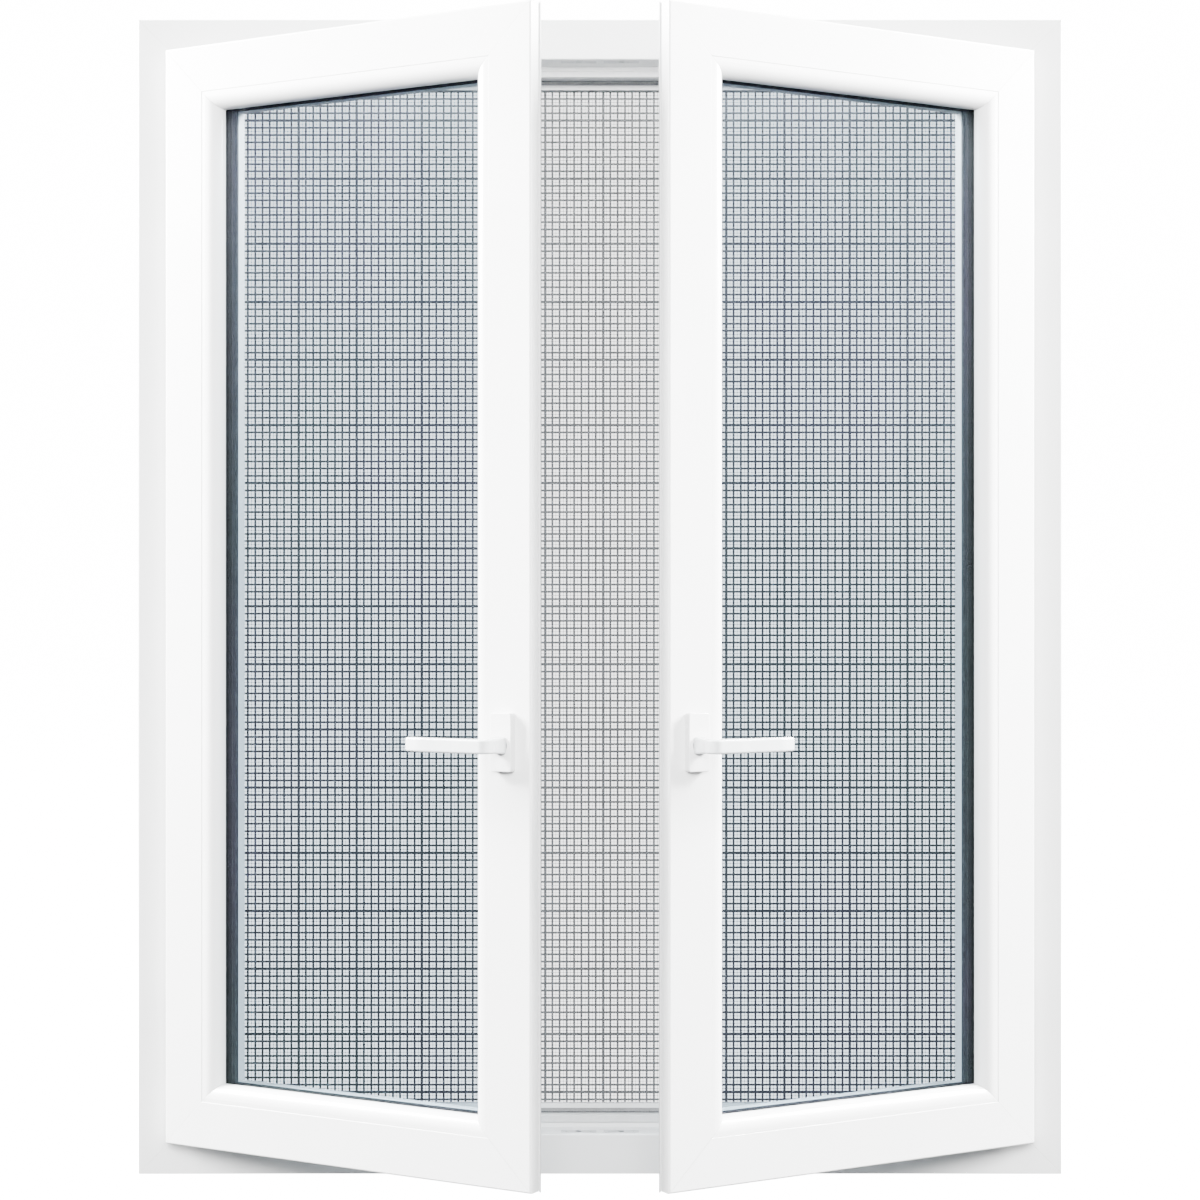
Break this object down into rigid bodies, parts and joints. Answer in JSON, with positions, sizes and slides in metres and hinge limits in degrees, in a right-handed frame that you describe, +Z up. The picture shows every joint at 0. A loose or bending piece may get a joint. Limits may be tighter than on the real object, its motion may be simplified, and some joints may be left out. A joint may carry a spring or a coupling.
{
  "type": "casement window",
  "caption": "Plastic-framed casement window with glazed inward-opening sashes, lever handles that drive locking bolts, and an insect screen outside.",
  "frame": {"origin": "middle of the frame's underside, half way through its depth", "axes": "+X right seen from the room, +Y outwards away from the room, +Z up"},
  "size_m": [1.2, 0.4166, 1.5],
  "materials": {
    "white_plastic": "smooth satin white extruded plastic",
    "white_lacquer": "smooth white powder coat",
    "zinc_steel": "bright zinc-plated steel",
    "galvanised_steel": "dull galvanised steel",
    "clear_glass": "clear float glass, faint green tint",
    "black_rubber": "matt black rubber",
    "grey_rubber": "matt light grey rubber",
    "black_spacer": "matt black warm-edge spacer",
    "grey_pile": "dark grey brush pile",
    "grey_net": "dark grey coated aluminium wire net, woven",
    "blue_packer": "plain moulded plastic packer",
    "white_cap": "plain moulded plastic"
  },
  "bodies": {
    "frame": {"frame_left_jamb": "white_plastic", "frame_right_jamb": "white_plastic", "frame_head": "white_plastic", "frame_sill": "white_plastic", "frame_reinforcements": "galvanised_steel", "frame_seal": "grey_rubber", "bolt_keep_plates": "zinc_steel", "drain_caps": "white_cap", "screen_hooks": "white_lacquer", "frame_screws": "zinc_steel", "screen_frame": "white_lacquer", "screen_brush_seal": "grey_pile", "screen_spline": "black_rubber", "screen_mesh": "grey_net", "hinge_frame_leaves": "white_lacquer", "hinge_pins": "zinc_steel"},
    "left_sash": {"left_hinge_stile": "white_plastic", "left_meeting_stile": "white_plastic", "left_top_rail": "white_plastic", "left_bottom_rail": "white_plastic", "left_reinforcements": "galvanised_steel", "left_glazing_beads": "white_plastic", "left_glass_panes": "clear_glass", "left_glass_spacer": "black_spacer", "left_glazing_gaskets": "black_rubber", "left_glazing_packers": "blue_packer", "left_sash_seal": "grey_rubber", "left_hinge_leaves": "white_lacquer", "left_sash_screws": "zinc_steel", "left_bolt_faceplate": "zinc_steel", "left_gear_case": "zinc_steel", "left_handle_base": "zinc_steel", "left_handle_cover": "white_lacquer"},
    "left_handle": {"left_handle_lever": "white_lacquer", "left_handle_spindle": "zinc_steel", "left_drive_pinion": "zinc_steel"},
    "left_top_bolt": {"left_top_bolt_rod": "zinc_steel"},
    "left_bottom_bolt": {"left_bottom_bolt_rod": "zinc_steel"},
    "right_sash": {"right_hinge_stile": "white_plastic", "right_meeting_stile": "white_plastic", "right_top_rail": "white_plastic", "right_bottom_rail": "white_plastic", "right_reinforcements": "galvanised_steel", "right_glazing_beads": "white_plastic", "right_glass_panes": "clear_glass", "right_glass_spacer": "black_spacer", "right_glazing_gaskets": "black_rubber", "right_glazing_packers": "blue_packer", "right_sash_seal": "grey_rubber", "right_hinge_leaves": "white_lacquer", "right_sash_screws": "zinc_steel", "right_bolt_faceplate": "zinc_steel", "right_gear_case": "zinc_steel", "right_handle_base": "zinc_steel", "right_handle_cover": "white_lacquer"},
    "right_handle": {"right_handle_lever": "white_lacquer", "right_handle_spindle": "zinc_steel", "right_drive_pinion": "zinc_steel"},
    "right_top_bolt": {"right_top_bolt_rod": "zinc_steel"},
    "right_bottom_bolt": {"right_bottom_bolt_rod": "zinc_steel"}
  },
  "joints": [
    {"name": "left_sash_hinge", "type": "hinge", "parent": "frame", "child": "left_sash", "pos_m": [-0.556, -0.052, 0.75], "axis": [0, 0, -1], "range_deg": [-30, 60]},
    {"name": "left_handle_turn", "type": "hinge", "parent": "left_sash", "child": "left_handle", "pos_m": [-0.1074, -0.311, 0.574], "axis": [-0.5, -0.866, 0], "range_deg": [0, 90]},
    {"name": "left_top_bolt_slide", "type": "slide", "parent": "left_sash", "child": "left_top_bolt", "axis": [0, 0, 1], "range_m": [0, 0.0126]},
    {"name": "left_bottom_bolt_slide", "type": "slide", "parent": "left_sash", "child": "left_bottom_bolt", "axis": [0, 0, -1], "range_m": [0, 0.0126]},
    {"name": "right_sash_hinge", "type": "hinge", "parent": "frame", "child": "right_sash", "pos_m": [0.556, -0.052, 0.75], "axis": [0, 0, 1], "range_deg": [-30, 60]},
    {"name": "right_handle_turn", "type": "hinge", "parent": "right_sash", "child": "right_handle", "pos_m": [0.1074, -0.311, 0.574], "axis": [-0.5, 0.866, 0], "range_deg": [0, 90]},
    {"name": "right_top_bolt_slide", "type": "slide", "parent": "right_sash", "child": "right_top_bolt", "axis": [0, 0, 1], "range_m": [0, 0.0126]},
    {"name": "right_bottom_bolt_slide", "type": "slide", "parent": "right_sash", "child": "right_bottom_bolt", "axis": [0, 0, -1], "range_m": [0, 0.0126]}
  ],
  "couplings": [
    {"joint": "left_top_bolt_slide", "follows": "left_handle_turn", "m_per_rad": 0.008},
    {"joint": "left_bottom_bolt_slide", "follows": "left_handle_turn", "m_per_rad": 0.008},
    {"joint": "right_top_bolt_slide", "follows": "right_handle_turn", "m_per_rad": 0.008},
    {"joint": "right_bottom_bolt_slide", "follows": "right_handle_turn", "m_per_rad": 0.008}
  ]
}
